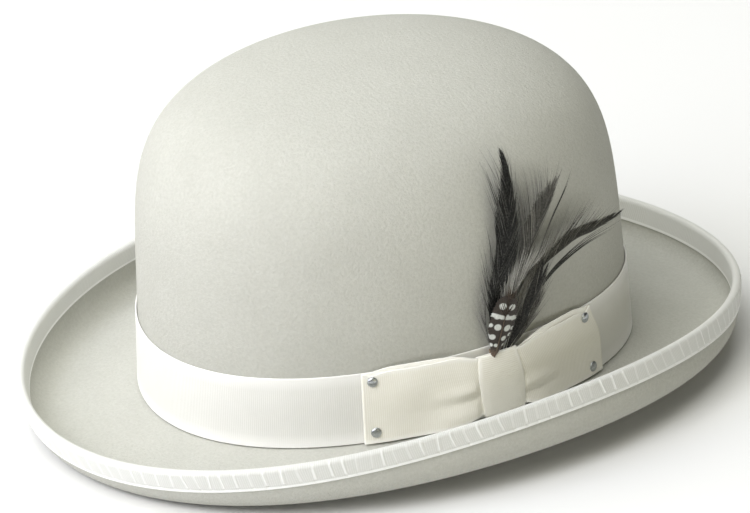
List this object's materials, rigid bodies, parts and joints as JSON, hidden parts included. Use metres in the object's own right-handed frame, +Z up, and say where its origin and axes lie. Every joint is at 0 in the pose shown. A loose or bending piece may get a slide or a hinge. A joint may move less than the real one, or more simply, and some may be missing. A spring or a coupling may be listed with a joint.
{
  "type": "bowler hat",
  "caption": "Domed felt hat with a curled, ribbon-bound brim, a grosgrain band, a flat riveted bow on the wearer's left and a feather mount that pulls out of the bow.",
  "frame": {"origin": "centre of the head opening, at the mean height of the break where the crown meets the brim", "axes": "+Z up through the crown's top, -Y towards the front of the hat, +X towards the wearer's left, where the bow and feathers are"},
  "size_m": [0.2434, 0.3045, 0.1381],
  "materials": {
    "felt": "off-white wool felt with a short soft nap",
    "binding_grosgrain": "white grosgrain, folded over the brim's edge and stitched",
    "band_grosgrain": "white grosgrain with fine vertical ribs",
    "bow_grosgrain": "ivory grosgrain",
    "rivet_steel": "satin with a brighter rim",
    "sweatband_leather": "smooth tan leather",
    "reed_plastic": "natural",
    "lining_satin": "pale satin",
    "clear_film": "clear film",
    "cotton_tape": "plain tape and small trim",
    "paper": "blank paper ticket",
    "spotted_feather": "dark brown with white spots and bars",
    "black_feather": "black with a soft sheen",
    "grey_feather": "grey, loose barbs",
    "pale_fluff": "pale wisps",
    "quill_thread": "glued and thread-wrapped quills"
  },
  "bodies": {
    "hat": {"felt_body": "felt", "brim_binding": "binding_grosgrain", "hat_band": "band_grosgrain", "bow_loop": "bow_grosgrain", "bow_knot": "bow_grosgrain", "sweatband": "sweatband_leather", "sweatband_reed": "reed_plastic", "sweatband_seam_tape": "cotton_tape", "sweatband_bow": "cotton_tape", "lining_side": "lining_satin", "lining_tip": "lining_satin", "lining_tip_shield": "clear_film", "size_label": "paper", "rivet_front_top": "rivet_steel", "rivet_back_front_top": "rivet_steel", "rivet_front_bottom": "rivet_steel", "rivet_back_front_bottom": "rivet_steel", "rivet_rear_top": "rivet_steel", "rivet_back_rear_top": "rivet_steel", "rivet_rear_bottom": "rivet_steel", "rivet_back_rear_bottom": "rivet_steel"},
    "feather_mount": {"guinea_feather": "spotted_feather", "tall_hackle": "black_feather", "grey_hackle": "grey_feather", "side_hackle": "black_feather", "short_hackle": "black_feather", "fluff_tuft": "pale_fluff", "quill_binding": "quill_thread"}
  },
  "joints": [
    {"name": "feather_pull", "type": "slide", "parent": "hat", "child": "feather_mount", "axis": [-0.0295, -0.0047, 0.9996], "range_m": [0, 0.024]}
  ]
}
